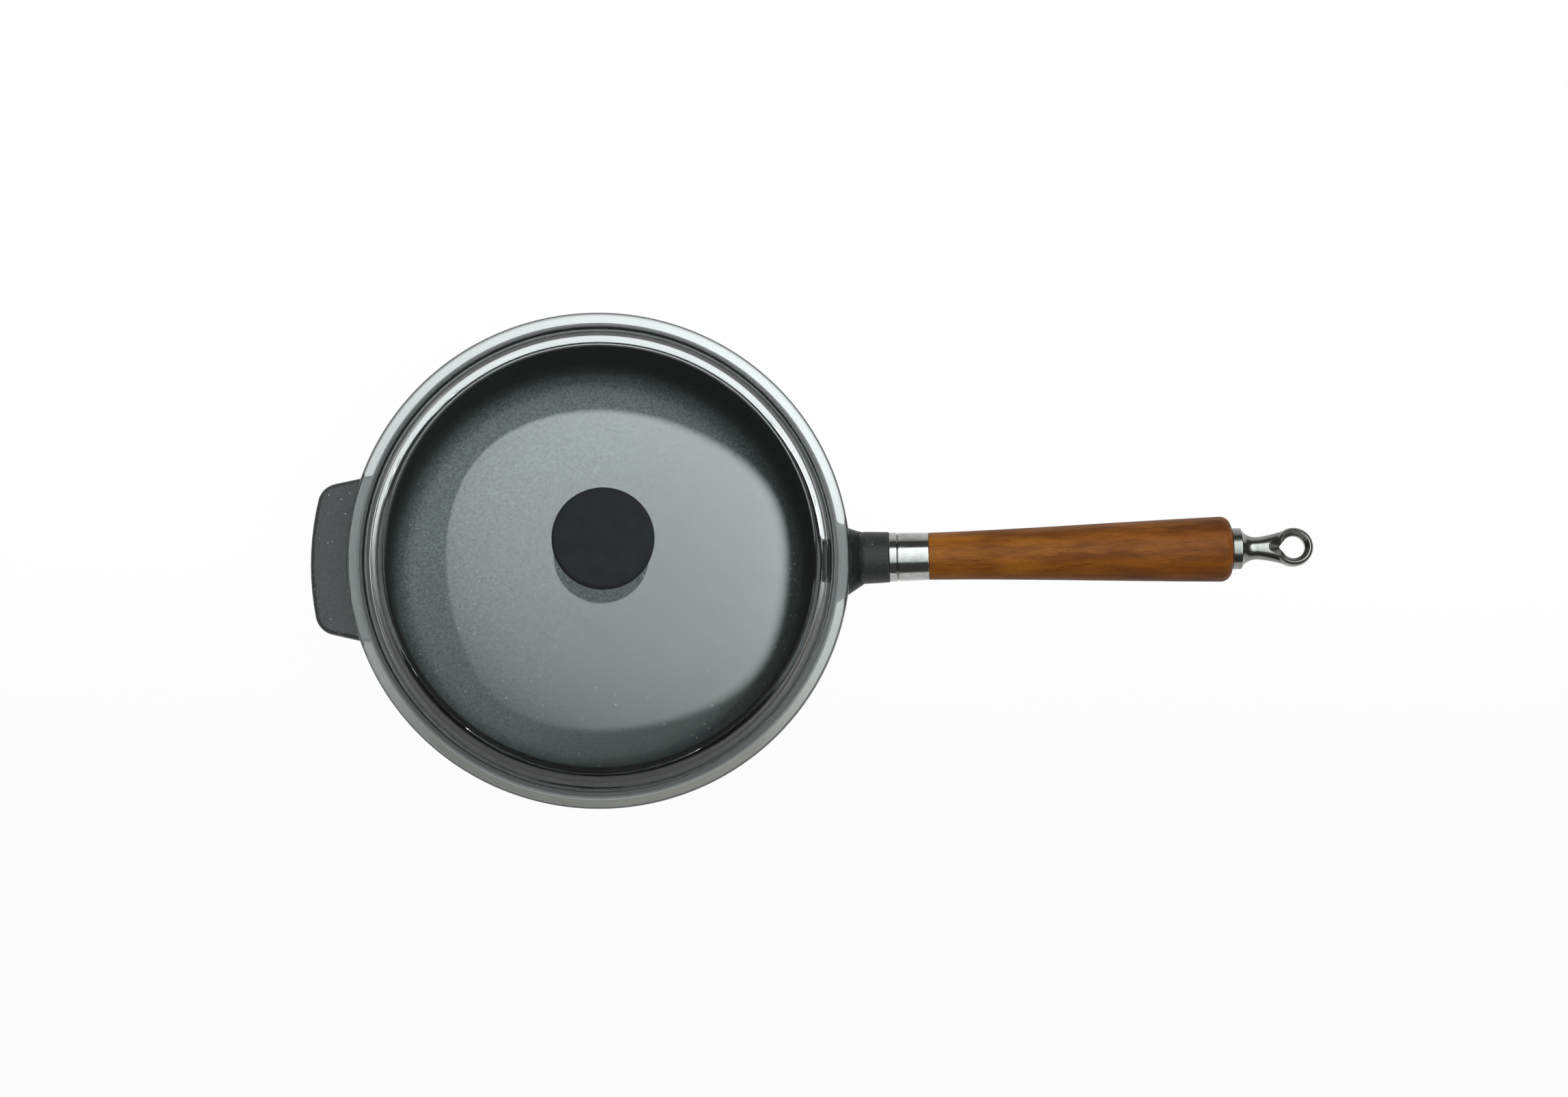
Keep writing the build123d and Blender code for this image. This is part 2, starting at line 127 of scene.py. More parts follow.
class LidSizes(PropertyGroup):
    rim_height: length("Rim height", "Height of the pan's rim, where the lid rests", 0.068)
    flange_thickness: length("Flange", "Thickness of the flat flange", 0.005)
    flange_round: length("Flange edge", "Rounding of the flange's edge", 0.0022)
    skirt_radius: length("Skirt radius", "Outside of the skirt inside the rim", 0.1282)
    skirt_thickness: length("Skirt", "Thickness of the skirt", 0.0026)
    skirt_round: length("Skirt edge", "Rounding of the skirt's edge", 0.001)
    foot_radius: length("Shoulder foot", "Radius where the shoulder meets the flange", 0.1301)
    foot_round: length("Foot rounding", "Rounding where it meets the flange", 0.0039)
    top_radius: length("Shoulder top", "Radius where the shoulder meets the dome", 0.1218)
    top_round: length("Top rounding", "Rounding where it meets the dome", 0.0102)
    shoulder_height: length("Shoulder height", "Height of the shoulder", 0.0093)
    under_foot_radius: length("Foot, inside", "Radius of the shoulder's foot inside", 0.1257)
    under_foot_round: length("Foot rounding, inside", "Rounding of that foot", 0.0006)
    under_top_radius: length("Top, inside", "Radius of the shoulder's top inside", 0.1182)
    under_top_round: length("Top rounding, inside", "Rounding of that top", 0.0087)
    glass_thickness: length("Glass", "Upright thickness of the dome", 0.0052)
    dome_power: FloatProperty(
        name="Crown", description="How flat the dome's middle is, 2 for evenly round",
        default=3.58, min=2.0)
    seat_radius: length("Knob seat", "Radius of the flat under the knob", 0.018)
    hole_radius: length("Hole", "Radius of the hole for the screw", 0.0042)
    steps: IntProperty(name="Steps", description="Steps round the lid", default=256, min=32)


class Finishes(PropertyGroup):
    iron: colour("Iron", "Dark coat of the cast iron", (0.030, 0.031, 0.031))
    iron_inside: colour("Iron inside", "The coat inside the bowl", (0.050, 0.056, 0.058))
    iron_light: colour("Iron flecks", "Pale flecks in the coat", (0.50, 0.52, 0.53))
    iron_roughness: share("Iron roughness", "Roughness of the coat", 0.46)
    wood: colour("Wood", "Oiled wood between its pores", (0.27, 0.092, 0.0075))
    wood_dark: colour("Wood, dark", "Darker growth in the wood", (0.145, 0.043, 0.004))
    wood_pore: colour("Pores", "Pores of the wood", (0.050, 0.015, 0.003))
    wood_handled: colour(
        "Handled wood", "Share of its colour left at the end that is held", (0.66, 0.56, 0.55))
    wood_roughness: share("Wood roughness", "Roughness of the oiled wood", 0.5)
    steel: colour("Steel", "Polished steel of the ferrule", (0.42, 0.425, 0.41))
    steel_roughness: share("Steel roughness", "Roughness of that steel", 0.13)
    steel_worn: colour("Worn steel", "Greyer steel of the hanging eye", (0.25, 0.25, 0.235))
    worn_roughness: share("Worn roughness", "Roughness of the eye's steel", 0.2)
    knob: colour("Knob", "Black moulded plastic", (0.0055, 0.0065, 0.007))
    knob_roughness: share("Knob roughness", "Roughness of the knob", 0.75)
    glass: colour("Glass", "Tint of the glass", (0.955, 0.98, 0.97))
    glass_slant: colour("Slanting glass", "Light let through where it slants", (0.16, 0.17, 0.165))
    zinc: colour("Zinc", "Plated rod, screw and washers", (0.55, 0.56, 0.57))
    brass: colour("Brass", "Insert in the knob", (0.62, 0.44, 0.19))
    silicone: colour("Silicone", "Soft washers of the knob", (0.42, 0.42, 0.40))


class StageSettings(PropertyGroup):
    camera_place: FloatVectorProperty(
        name="Camera", description="Place of the camera",
        default=(-0.0178, -0.1861, 1.2602), size=3, unit="LENGTH", subtype="TRANSLATION")
    camera_turn: FloatVectorProperty(
        name="Camera turn", description="Turn of the camera",
        default=(math.radians(9.143), math.radians(-5.654), math.radians(-0.747)),
        size=3, unit="ROTATION", subtype="EULER")
    lens: FloatProperty(
        name="Lens", description="Focal length in millimetres", default=49.38)
    sensor: FloatProperty(
        name="Sensor", description="Sensor width in millimetres", default=36.0)
    floor_size: length("Floor", "Width of the floor", 12.0)
    floor_colour: colour("Floor colour", "Colour of the floor", (0.74, 0.77, 0.77))
    # Painted shadow: the darker floor in front of the pan stands in for the pan's shadow, seen
    # through the glass
    painted_shadow_colour: colour("Floor in front", "Its colour in front of the pan", (0.13, 0.105, 0.072))
    white_share: share("White", "Share of plain white in the floor, as seen", 0.97)
    white_share_in_glass: share("White in glass", "The same at the back, seen through glass", 0.18)
    softbox_place: FloatVectorProperty(
        name="Softbox", description="Place of the softbox over the pan",
        default=(0.458, -0.0065, 1.57), size=3, unit="LENGTH", subtype="TRANSLATION")
    softbox_width: length("Softbox width", "Width of the softbox from left to right", 2.72)
    softbox_depth: length("Softbox depth", "Depth of the softbox from front to back", 2.207)
    softbox_power: FloatProperty(
        name="Softbox power", description="Power of the softbox in watts", default=52.0)
    softbox_colour: colour("Softbox colour", "Colour of its light", (0.94, 1.0, 1.0))
    softbox_slope: FloatVectorProperty(
        name="Softbox slope", description="How much brighter it is to the right and back",
        default=(0.62, 0.42, 0.0), size=3)
    painted_shadow_end: length("Front end", "Where the darker floor in front ends", -0.10)
    back_start: length("Back start", "Where the pale floor begins", 0.02)
    fill: share("Fill", "Light from the walls of the studio", 0.20)
    room: share("Room", "What glass and metal see of the dim room", 0.08)
    wall: share("Wall", "What they see of the bright far wall", 0.72)
    wall_azimuth: FloatProperty(
        name="Wall side", description="Direction of the bright wall",
        default=math.radians(110.0), subtype="ANGLE")


# Outlines and turned shapes


def outline(corners):
    """A bmesh of straight edges round corners given as reach and height."""
    shape = bmesh.new()
    points = [shape.verts.new((reach, 0.0, height)) for reach, height in corners]
    for point, following in zip(points, points[1:] + points[:1]):
        shape.edges.new((point, following))
    return shape


def point_at(shape, corner):
    """The vertex of an outline that lies at a corner."""
    place = Vector((corner[0], 0.0, corner[1]))
    return min(shape.verts, key=lambda vert: (vert.co - place).length)


def round_corner(shape, corner, radius, segments):
    """Rounds one corner of an outline."""
    point = point_at(shape, corner)
    arms = [edge.other_vert(point).co - point.co for edge in point.link_edges]
    offset = radius / math.tan(arms[0].angle(arms[1]) / 2)
    bmesh.ops.bevel(
        shape, geom=[point], offset=offset, offset_type="OFFSET", segments=segments,
        profile=0.5, affect="VERTICES", material=-1)


def bow(shape, first, second, height, cuts):
    """Bends the straight edge between two corners on to a curve, given as its height."""
    edge = shape.edges.get((point_at(shape, first), point_at(shape, second)))
    made = bmesh.ops.subdivide_edges(shape, edges=[edge], cuts=cuts)
    for part in made["geom_inner"]:
        if isinstance(part, bmesh.types.BMVert):
            part.co.z = height(part.co)


def turn(shape, steps):
    """Spins an outline once round the upright axis and closes the skin."""
    bmesh.ops.spin(
        shape, geom=shape.verts[:] + shape.edges[:], cent=(0.0, 0.0, 0.0),
        axis=(0.0, 0.0, 1.0), angle=math.tau, steps=steps, use_merge=True)
    bmesh.ops.remove_doubles(shape, verts=shape.verts[:], dist=1e-6)
    bmesh.ops.recalc_face_normals(shape, faces=shape.faces[:])


def piece(name, shape, material, crease=math.radians(40.0)):
    """A new object from a bmesh, smooth but for its sharp creases."""
    mesh = bpy.data.meshes.new(name)
    shape.to_mesh(mesh)
    shape.free()
    mesh.shade_smooth()
    mesh.set_sharp_from_angle(angle=crease)
    mesh.materials.append(material)
    thing = bpy.data.objects.new(name, mesh)
    bpy.context.scene.collection.objects.link(thing)
    return thing


# Node trees


def put(tree, kind, values=None, **settings):
    """A node with its settings and the values of its inputs."""
    node = tree.nodes.new(kind)
    for name, value in settings.items():
        setattr(node, name, value)
    for name, value in (values or {}).items():
        node.inputs[name].default_value = value
    return node


def rgba(tint):
    """A colour with full alpha."""
    return (*tint, 1.0)


def new_material(name):
    """An empty material with its shader and output."""
    material = bpy.data.materials.new(name)
    material.use_nodes = True
    tree = material.node_tree
    tree.nodes.clear()
    shader = put(tree, "ShaderNodeBsdfPrincipled")
    output = put(tree, "ShaderNodeOutputMaterial")
    tree.links.new(shader.outputs["BSDF"], output.inputs["Surface"])
    return material, tree, shader


def place_pattern(tree, turn_back=0.0, origin=(0.0, 0.0, 0.0)):
    """Object coordinates with their origin and axes on a piece."""
    where = put(tree, "ShaderNodeTexCoord")
    to_origin = put(tree, "ShaderNodeVectorMath", operation="SUBTRACT")
    to_origin.inputs[1].default_value = origin
    tree.links.new(where.outputs["Object"], to_origin.inputs[0])
    turned = put(tree, "ShaderNodeMapping", {"Rotation": (0.0, turn_back, 0.0)})
    tree.links.new(to_origin.outputs["Vector"], turned.inputs["Vector"])
    return turned.outputs["Vector"]


def new_group(name, inputs, outputs):
    """A node group with named sockets, and its inner input and output nodes."""
    tree = bpy.data.node_groups.new(name, "ShaderNodeTree")
    for label, kind, value in inputs:
        socket = tree.interface.new_socket(name=label, in_out="INPUT", socket_type=kind)
        if value is not None:
            socket.default_value = value
    for label, kind in outputs:
        tree.interface.new_socket(name=label, in_out="OUTPUT", socket_type=kind)
    return tree, put(tree, "NodeGroupInput"), put(tree, "NodeGroupOutput")


def grain_group():
    """Pebbled grain: a height, a mottled mask and small flecks."""
    found = bpy.data.node_groups.get("pebbled_grain")
    if found:
        return found
    tree, given, result = new_group(
        "pebbled_grain",
        (("Vector", "NodeSocketVector", None), ("Grain", "NodeSocketFloat", 1800.0),
         ("Mottle", "NodeSocketFloat", 60.0), ("Fleck", "NodeSocketFloat", 420.0),
         ("Fleck Size", "NodeSocketFloat", 0.12)),
        (("Height", "NodeSocketFloat"), ("Mottle", "NodeSocketFloat"),
         ("Fleck", "NodeSocketFloat")))
    link = tree.links.new
    fine = put(tree, "ShaderNodeTexNoise", {"Detail": 3.0, "Roughness": 0.65})
    link(given.outputs["Vector"], fine.inputs["Vector"])
    link(given.outputs["Grain"], fine.inputs["Scale"])
    broad = put(tree, "ShaderNodeTexNoise", {"Detail": 5.0, "Roughness": 0.6})
    link(given.outputs["Vector"], broad.inputs["Vector"])
    link(given.outputs["Mottle"], broad.inputs["Scale"])
    cells = put(tree, "ShaderNodeTexVoronoi", {"Randomness": 1.0})
    link(given.outputs["Vector"], cells.inputs["Vector"])
    link(given.outputs["Fleck"], cells.inputs["Scale"])
    chosen = put(tree, "ShaderNodeSeparateColor")
    link(cells.outputs["Color"], chosen.inputs["Color"])
    few = put(tree, "ShaderNodeMapRange", {"From Min": 0.86, "From Max": 1.0})
    link(chosen.outputs["Red"], few.inputs["Value"])
    near = put(tree, "ShaderNodeMapRange", {"To Min": 1.0, "To Max": 0.0})
    link(cells.outputs["Distance"], near.inputs["Value"])
    link(given.outputs["Fleck Size"], near.inputs["From Max"])
    fleck = put(tree, "ShaderNodeMath", operation="MULTIPLY")
    link(few.outputs["Result"], fleck.inputs[0])
    link(near.outputs["Result"], fleck.inputs[1])
    link(fine.outputs["Fac"], result.inputs["Height"])
    link(broad.outputs["Fac"], result.inputs["Mottle"])
    link(fleck.outputs["Value"], result.inputs["Fleck"])
    return tree


def streak_group():
    """Streaks along X: long soft bands and short thin marks."""
    found = bpy.data.node_groups.get("long_streaks")
    if found:
        return found
    tree, given, result = new_group(
        "long_streaks",
        (("Vector", "NodeSocketVector", None), ("Band Stretch", "NodeSocketFloat", 0.10),
         ("Band Scale", "NodeSocketFloat", 160.0), ("Mark Stretch", "NodeSocketFloat", 0.05),
         ("Mark Scale", "NodeSocketFloat", 1500.0), ("Mark Share", "NodeSocketFloat", 0.60)),
        (("Bands", "NodeSocketFloat"), ("Marks", "NodeSocketFloat")))
    link = tree.links.new
    for kind, detail in (("Band", 4.0), ("Mark", 2.0)):
        stretch = put(tree, "ShaderNodeCombineXYZ", {"Y": 1.0, "Z": 1.0})
        link(given.outputs[kind + " Stretch"], stretch.inputs["X"])
        drawn = put(tree, "ShaderNodeVectorMath", operation="MULTIPLY")
        link(given.outputs["Vector"], drawn.inputs[0])
        link(stretch.outputs["Vector"], drawn.inputs[1])
        noise = put(tree, "ShaderNodeTexNoise", {"Detail": detail, "Roughness": 0.6})
        link(drawn.outputs["Vector"], noise.inputs["Vector"])
        link(given.outputs[kind + " Scale"], noise.inputs["Scale"])
        if kind == "Band":
            link(noise.outputs["Fac"], result.inputs["Bands"])
        else:
            marks = put(tree, "ShaderNodeMapRange", {"From Max": 0.78})
            link(noise.outputs["Fac"], marks.inputs["Value"])
            link(given.outputs["Mark Share"], marks.inputs["From Min"])
            link(marks.outputs["Result"], result.inputs["Marks"])
    return tree


def use_group(tree, group, values):
    """Places a group in a material with its own values."""
    node = put(tree, "ShaderNodeGroup", node_tree=group)
    for name, value in values.items():
        node.inputs[name].default_value = value
    return node


def blend(tree, mask, low, high):
    """A colour between two others by a mask."""
    node = put(tree, "ShaderNodeMix", data_type="RGBA")
    tree.links.new(mask, node.inputs["Factor"])
    for socket, given in ((node.inputs[6], low), (node.inputs[7], high)):
        if isinstance(given, bpy.types.NodeSocket):
            tree.links.new(given, socket)
        else:
            socket.default_value = rgba(given)
    return node.outputs[2]


def spread(tree, value, low, high, from_low=0.0, from_high=1.0):
    """Maps a mask on to a range."""
    node = put(tree, "ShaderNodeMapRange", {
        "From Min": from_low, "From Max": from_high, "To Min": low, "To Max": high})
    tree.links.new(value, node.inputs["Value"])
    return node.outputs["Result"]


def bump(tree, height, strength, distance, shader):
    """Feeds a height to the shader's normal."""
    node = put(tree, "ShaderNodeBump", {"Strength": strength, "Distance": distance})
    tree.links.new(height, node.inputs["Height"])
    tree.links.new(node.outputs["Normal"], shader.inputs["Normal"])
    return node


# Finishes


def from_axis(tree):
    """The distance from the pan's upright axis, the height, and the place itself."""
    where = put(tree, "ShaderNodeTexCoord")
    parts = put(tree, "ShaderNodeSeparateXYZ")
    tree.links.new(where.outputs["Object"], parts.inputs["Vector"])
    level = put(tree, "ShaderNodeVectorMath", operation="MULTIPLY")
    level.inputs[1].default_value = (1.0, 1.0, 0.0)
    tree.links.new(where.outputs["Object"], level.inputs[0])
    reach = put(tree, "ShaderNodeVectorMath", operation="LENGTH")
    tree.links.new(level.outputs["Vector"], reach.inputs[0])
    return reach.outputs["Value"], parts.outputs["Z"], where.outputs["Object"]


def both(tree, first, second):
    """Where two masks meet."""
    node = put(tree, "ShaderNodeMath", operation="MULTIPLY")
    tree.links.new(first, node.inputs[0])
    tree.links.new(second, node.inputs[1])
    return node.outputs["Value"]


def bowl_masks(tree):
    """The bowl's floor; its dull wall, rim and boss, which also carry painted shade; and the side
    where the floor is painted lighter.
    """
    reach, height, place = from_axis(tree)
    upright = put(tree, "ShaderNodeMath", operation="MULTIPLY_ADD")
    upright.inputs[1].default_value = -wall_lean
    tree.links.new(height, upright.inputs[0])
    tree.links.new(reach, upright.inputs[2])
    within = spread(tree, upright.outputs["Value"], 1.0, 0.0, *wall_skin)
    inside = both(tree, within, spread(tree, reach, 1.0, 0.0, *floor_fade))
    wall = both(tree, within, spread(tree, reach, 0.0, 1.0, *wall_fade))
    land = both(
        tree, spread(tree, reach, 0.0, 1.0, *land_inner),
        spread(tree, reach, 1.0, 0.5, *land_outer))
    rest = both(tree, spread(tree, height, 0.0, 1.0, *land_height), land)
    # This mask dulls the reflection and carries painted shade: the wall inside the bowl, the land
    # under the lid and, half as much, the boss beyond it
    dull = put(tree, "ShaderNodeMath", operation="MAXIMUM")
    tree.links.new(wall, dull.inputs[0])
    tree.links.new(rest, dull.inputs[1])
    # Painted light: the floor is lighter towards one side and darker away from it, as the light
    # falls
    towards = put(tree, "ShaderNodeVectorMath", operation="DOT_PRODUCT")
    towards.inputs[1].default_value = painted_light_side
    tree.links.new(place, towards.inputs[0])
    wear_and_painted_light = spread(tree, towards.outputs["Value"], 0.0, 1.0, *painted_light_fade)
    return inside, dull.outputs["Value"], wear_and_painted_light


def cast_iron(finish):
    """Dark coated cast iron with a pebbled skin and pale flecks, paler inside the bowl; its wall
    and rim are darkened with painted shade, and its floor has painted light on one side.
    """
    material, tree, shader = new_material("cast_iron_body_look")
    grain = use_group(tree, grain_group(), {
        "Grain": 1100.0, "Mottle": 640.0, "Fleck": 430.0, "Fleck Size": 0.26})
    tree.links.new(place_pattern(tree), grain.inputs["Vector"])
    inside, dull, wear_and_painted_light = bowl_masks(tree)
    tree.links.new(
        spread(tree, dull, plain_level, dull_level), shader.inputs["Specular IOR Level"])
    speck = spread(tree, grain.outputs["Mottle"], 0.0, 1.0, 0.3, 0.7)
    tints = []
    # Painted light and shade: the coat inside runs from a painted dark side to a painted light
    # side of the floor
    for amount in speck_range:
        outer = tuple(amount * part for part in finish.iron)
        dark, bright = (
            tuple(amount * part * painted_light_level for part in finish.iron_inside)
            for painted_light_level in painted_light_range)
        tints.append(blend(tree, inside, outer, blend(tree, wear_and_painted_light, dark, bright)))
    coat = blend(tree, speck, *tints)
    flecked = blend(tree, grain.outputs["Fleck"], coat, finish.iron_light)
    # Painted shade: where the dull mask is full, the coat is darkened to half its colour
    painted_shade_colour = tuple(0.5 * part for part in finish.iron)
    tree.links.new(blend(tree, dull, flecked, painted_shade_colour), shader.inputs["Base Color"])
    rough = spread(
        tree, grain.outputs["Mottle"], finish.iron_roughness - 0.06,
        finish.iron_roughness + 0.10, 0.3, 0.7)
    tree.links.new(rough, shader.inputs["Roughness"])
    bump(tree, grain.outputs["Height"], 0.35, 0.0004, shader)
    return material


def oiled_wood(finish):
    """Oiled hardwood with its grain along the handle."""
    material, tree, shader = new_material("oiled_wood_look")
    shader.inputs["Specular IOR Level"].default_value = 0.16
    place = place_pattern(tree, handle_rise, handle_start)
    streaks = use_group(tree, streak_group(), {
        "Band Stretch": 0.16, "Band Scale": 150.0, "Mark Stretch": 0.11,
        "Mark Scale": 1700.0, "Mark Share": 0.55})
    tree.links.new(place, streaks.inputs["Vector"])
    bands = spread(tree, streaks.outputs["Bands"], 0.0, 1.0, 0.36, 0.60)
    along = put(tree, "ShaderNodeSeparateXYZ")
    tree.links.new(place, along.inputs["Vector"])
    held = spread(tree, along.outputs["X"], 0.0, 1.0, 0.03, 0.20)
    tints = []
    for tint in (finish.wood_dark, finish.wood):
        handled = tuple(kept * part for kept, part in zip(finish.wood_handled, tint))
        tints.append(blend(tree, held, tint, handled))
    ground = blend(tree, bands, *tints)
    pores = spread(tree, streaks.outputs["Marks"], 0.0, 0.75)
    tree.links.new(
        blend(tree, pores, ground, finish.wood_pore), shader.inputs["Base Color"])
    rough = spread(
        tree, streaks.outputs["Bands"], finish.wood_roughness + 0.08,
        finish.wood_roughness - 0.05, 0.3, 0.7)
    tree.links.new(rough, shader.inputs["Roughness"])
    bump(tree, streaks.outputs["Marks"], 0.25, -0.0002, shader)
    return material


def polished_steel(name, tint, roughness):
    """Polished steel with fine turning marks round the handle's axis."""
    material, tree, shader = new_material(name)
    shader.inputs["Metallic"].default_value = 1.0
    place = place_pattern(tree, handle_rise, handle_start)
    streaks = use_group(tree, streak_group(), {
        "Band Stretch": 1.0, "Band Scale": 170.0, "Mark Stretch": 40.0,
        "Mark Scale": 160.0, "Mark Share": 0.50})
    tree.links.new(place, streaks.inputs["Vector"])
    dull = tuple(0.8 * part for part in tint)
    stained = spread(tree, streaks.outputs["Bands"], 0.0, 1.0, 0.35, 0.6)
    tree.links.new(blend(tree, stained, dull, tint), shader.inputs["Base Color"])
    rough = spread(
        tree, streaks.outputs["Bands"], roughness + 0.08, roughness - 0.03, 0.3, 0.7)
    tree.links.new(rough, shader.inputs["Roughness"])
    bump(tree, streaks.outputs["Marks"], 0.08, 0.0001, shader)
    return material


def moulded_plastic(finish):
    """Matt black moulded plastic with a fine spark-eroded grain."""
    material, tree, shader = new_material("knob_plastic_look")
    shader.inputs["Specular IOR Level"].default_value = 0.3
    grain = use_group(tree, grain_group(), {
        "Grain": 2600.0, "Mottle": 110.0, "Fleck": 900.0, "Fleck Size": 0.1})
    tree.links.new(place_pattern(tree), grain.inputs["Vector"])
    wear_and_painted_light = tuple(1.7 * part for part in finish.knob)
    tree.links.new(
        blend(tree, grain.outputs["Mottle"], finish.knob, wear_and_painted_light),
        shader.inputs["Base Color"])
    rough = spread(
        tree, grain.outputs["Mottle"], finish.knob_roughness - 0.05,
        finish.knob_roughness + 0.08, 0.3, 0.7)
    tree.links.new(rough, shader.inputs["Roughness"])
    bump(tree, grain.outputs["Height"], 0.2, 0.0002, shader)
    return material


def clear_glass(finish):
    """Clear pressed glass that lets lamp light through, and reflects little on its flange."""
    material, tree, shader = new_material("tempered_glass_look")
    shader.inputs["Base Color"].default_value = rgba(finish.glass)
    shader.inputs["Roughness"].default_value = 0.0
    shader.inputs["IOR"].default_value = 1.5
    shader.inputs["Transmission Weight"].default_value = 1.0
    reach = from_axis(tree)[0]
    flat = both(
        tree, spread(tree, reach, 0.0, 1.0, *flat_inner),
        spread(tree, reach, 1.0, 0.0, *flat_outer))
    tree.links.new(
        spread(tree, flat, plain_level, flat_level), shader.inputs["Specular IOR Level"])
    clear = put(tree, "ShaderNodeBsdfTransparent")
    slant = put(tree, "ShaderNodeLayerWeight", {"Blend": 0.5})
    bent = spread(tree, slant.outputs["Facing"], 0.0, 1.0, *slant_range)
    tree.links.new(blend(tree, bent, finish.glass, finish.glass_slant), clear.inputs["Color"])
    path = put(tree, "ShaderNodeLightPath")
    either = put(tree, "ShaderNodeMath", operation="MAXIMUM")
    tree.links.new(path.outputs["Is Shadow Ray"], either.inputs[0])
    tree.links.new(path.outputs["Is Diffuse Ray"], either.inputs[1])
    mix = put(tree, "ShaderNodeMixShader")
    tree.links.new(either.outputs["Value"], mix.inputs["Fac"])
    tree.links.new(shader.outputs["BSDF"], mix.inputs[1])
    tree.links.new(clear.outputs["BSDF"], mix.inputs[2])
    output = next(node for node in tree.nodes if node.type == "OUTPUT_MATERIAL")
    tree.links.new(mix.outputs["Shader"], output.inputs["Surface"])
    return material


def small_metal(name, tint, roughness):
    """Plated or plain metal of the small fastenings, a little mottled."""
    material, tree, shader = new_material(name)
    shader.inputs["Metallic"].default_value = 1.0
    grain = use_group(tree, grain_group(), {"Grain": 3000.0, "Mottle": 300.0})
    tree.links.new(place_pattern(tree), grain.inputs["Vector"])
    dull = tuple(0.75 * part for part in tint)
    tree.links.new(
        blend(tree, grain.outputs["Mottle"], dull, tint), shader.inputs["Base Color"])
    rough = spread(tree, grain.outputs["Mottle"], roughness + 0.1, roughness - 0.05)
    tree.links.new(rough, shader.inputs["Roughness"])
    return material


def soft_silicone(finish):
    """Milky silicone rubber."""
    material, tree, shader = new_material("silicone_look")
    grain = use_group(tree, grain_group(), {"Grain": 2500.0, "Mottle": 200.0})
    tree.links.new(place_pattern(tree), grain.inputs["Vector"])
    pale = tuple(min(1.0, 1.2 * part) for part in finish.silicone)
    tree.links.new(
        blend(tree, grain.outputs["Mottle"], finish.silicone, pale),
        shader.inputs["Base Color"])
    shader.inputs["Roughness"].default_value = 0.55
    return material


def finish_node(name, material):
    """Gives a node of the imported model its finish."""
    slots = frame["nodes"][name].material_slots
    if not slots:
        raise RuntimeError("the node has no material slot: " + name)
    for slot in slots:
        slot.material = material


# Operators


class SAUTE_OT_pan(Operator):
    """Cast iron on the pan with its lug and boss"""
    bl_idname = "saute.pan"
    bl_label = "Pan"

    def execute(self, context):
        finish_node("pan_body", cast_iron(context.scene.saute_finishes))
        return {"FINISHED"}


class SAUTE_OT_lid(Operator):
    """The glass lid, turned from its section"""
    bl_idname = "saute.lid"
    bl_label = "Glass lid"

    def execute(self, context):
        sizes = context.scene.saute_lid
        flange_top = sizes.rim_height + sizes.flange_thickness
        shoulder_top = flange_top + sizes.shoulder_height
        seat_top = lid_high.z
        seat_under = seat_top - sizes.glass_thickness

        def crown(corner):
            outward = corner.x / sizes.top_radius
            return seat_top - (seat_top - shoulder_top) * outward ** sizes.dome_power

        def under_crown(corner):
            return crown(corner) - sizes.glass_thickness

        skirt_inside = sizes.skirt_radius - sizes.skirt_thickness
        under_top = under_crown(Vector((sizes.under_top_radius, 0.0)))
        corners = (
            (sizes.hole_radius, seat_top),
            (sizes.seat_radius, seat_top),
            (sizes.top_radius, shoulder_top),
            (sizes.foot_radius, flange_top),
            (lid_high.x, flange_top),
            (lid_high.x, sizes.rim_height),
            (sizes.skirt_radius, sizes.rim_height),
            (sizes.skirt_radius, lid_low.z),
            (skirt_inside, lid_low.z),
            (sizes.under_foot_radius, sizes.rim_height),
            (sizes.under_top_radius, under_top),
            (sizes.seat_radius, seat_under),
            (sizes.hole_radius, seat_under),
        )
        shape = outline(corners)
        bow(shape, corners[1], corners[2], crown, 60)
        bow(shape, corners[10], corners[11], under_crown, 60)
        for index, radius, segments in (
                (2, sizes.top_round, 10), (3, sizes.foot_round, 10),
                (4, sizes.flange_round, 10), (5, sizes.flange_round, 10),
                (7, sizes.skirt_round, 6), (8, sizes.skirt_round, 6),
                (9, sizes.under_foot_round, 8), (10, sizes.under_top_round, 10)):
            round_corner(shape, corners[index], radius, segments)
        turn(shape, sizes.steps)
        lid = piece(
            "glass_lid", shape, clear_glass(context.scene.saute_finishes),
            crease=math.radians(50.0))
        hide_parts("lid_glass")
        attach(lid, "lid")
        return {"FINISHED"}


class SAUTE_OT_knob(Operator):
    """Black plastic on the knob"""
    bl_idname = "saute.knob"
    bl_label = "Knob"

    def execute(self, context):
        finish_node("knob", moulded_plastic(context.scene.saute_finishes))
        return {"FINISHED"}


class SAUTE_OT_handle(Operator):
    """Wood on the grip, and steel on the ferrule and the hanging eye"""
    bl_idname = "saute.handle"
    bl_label = "Handle"

    def execute(self, context):
        finishes = context.scene.saute_finishes
        finish_node("handle_grip", oiled_wood(finishes))
        finish_node("ferrule", polished_steel(
            "ferrule_steel_look", finishes.steel, finishes.steel_roughness))
        finish_node("hanging_eye", polished_steel(
            "eye_steel_look", finishes.steel_worn, finishes.worn_roughness))
        return {"FINISHED"}


class SAUTE_OT_fastenings(Operator):
    """Metal and silicone on the rod, screw, washers and insert"""
    bl_idname = "saute.fastenings"
    bl_label = "Fastenings"

    def execute(self, context):
        finishes = context.scene.saute_finishes
        zinc = small_metal("zinc_steel_look", finishes.zinc, 0.32)
        for name in ("tie_rod", "end_washer", "lid_screw", "screw_washer"):
            finish_node(name, zinc)
        finish_node("knob_insert", small_metal("insert_brass_look", finishes.brass, 0.3))
        rubber = soft_silicone(finishes)
        for name in ("upper_gasket", "lower_gasket"):
            finish_node(name, rubber)
        return {"FINISHED"}


